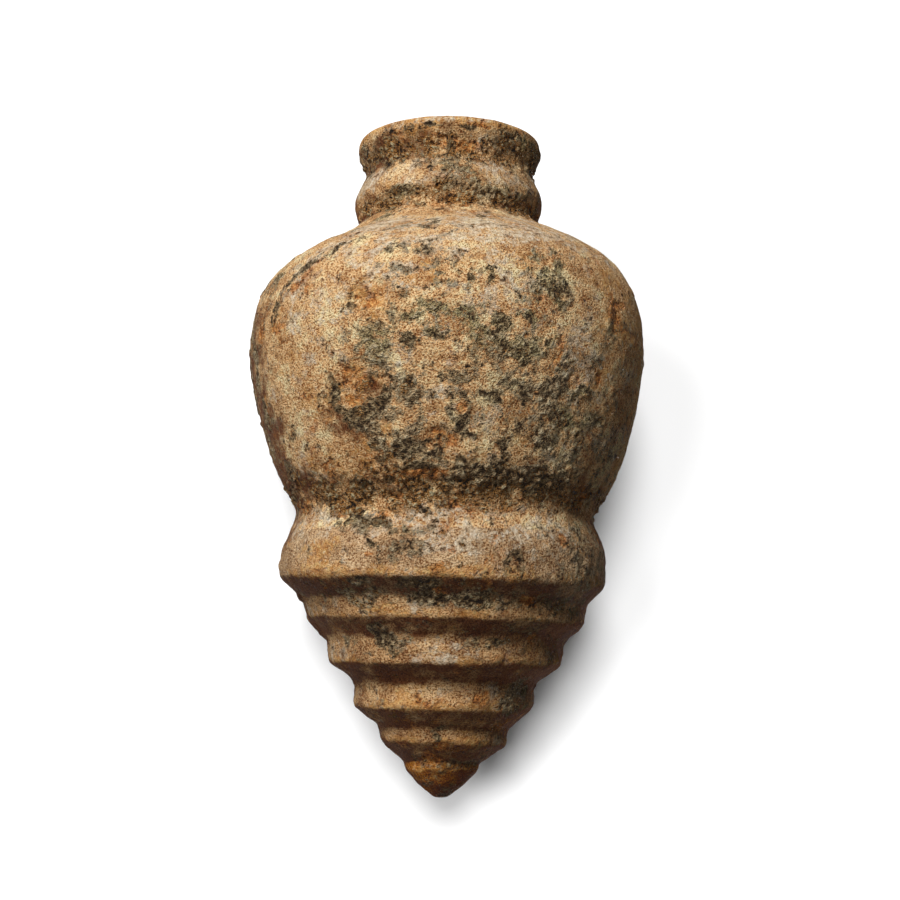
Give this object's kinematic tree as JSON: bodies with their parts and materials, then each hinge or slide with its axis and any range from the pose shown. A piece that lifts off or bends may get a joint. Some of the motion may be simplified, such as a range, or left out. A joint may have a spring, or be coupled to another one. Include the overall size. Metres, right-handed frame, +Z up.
{
  "type": "ribbed terracotta flask",
  "caption": "Hollow terracotta flask with a stepped, ribbed foot, a flared band, a broad rounded body and a short beaded neck with an everted rim, lying on its side.",
  "frame": {"origin": "on the surface that the flask lies on, under the middle of its extent", "axes": "+Y towards the mouth, along the flask as it lies; +Z up; +X to the right as seen from the tip"},
  "size_m": [0.0906, 0.1514, 0.0904],
  "materials": {
    "tip_clay": "unglazed fired clay, orange-brown, sandy",
    "foot_clay": "unglazed fired clay, brown, sandy, with dark crust in the hollows",
    "band_clay": "unglazed fired clay, pinkish tan, sandy",
    "waist_clay": "unglazed fired clay, dark and gritty",
    "body_clay": "unglazed fired clay, ochre tan, sandy, with grey-green crust",
    "neck_clay": "unglazed fired clay, brown, pitted and gritty"
  },
  "bodies": {
    "root": {"tip_cone": "tip_clay", "foot_ring_1": "foot_clay", "foot_ring_2": "foot_clay", "foot_ring_3": "foot_clay", "foot_ring_4": "foot_clay", "flared_band": "band_clay", "waist_coil": "waist_clay", "body_bowl": "body_clay", "shoulder_dome": "body_clay", "neck_bead": "neck_clay", "neck_collar": "neck_clay"}
  },
  "joints": []
}
